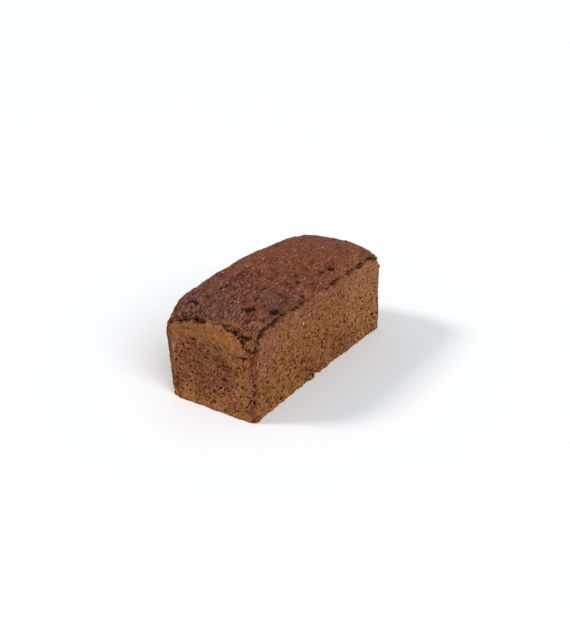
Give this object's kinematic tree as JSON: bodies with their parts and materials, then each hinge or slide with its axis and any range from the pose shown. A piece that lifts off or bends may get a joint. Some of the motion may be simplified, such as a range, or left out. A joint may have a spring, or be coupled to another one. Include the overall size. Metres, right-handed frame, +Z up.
{
  "type": "tin loaf",
  "caption": "Whole domed tin loaf of dark wholemeal bread: straight tin-baked sides, a flat base and a torn edge under a lifted, wrinkled top crust.",
  "frame": {"origin": "the middle of the underside, where the loaf rests on a surface", "axes": "+X along the loaf, towards its lower end; the dome is highest towards -X. +Y across the loaf. +Z up, from the flat base to the domed crust."},
  "size_m": [0.263, 0.1116, 0.1231],
  "materials": {
    "crust": "matte"
  },
  "bodies": {
    "root": {"loaf": "crust"}
  },
  "joints": []
}
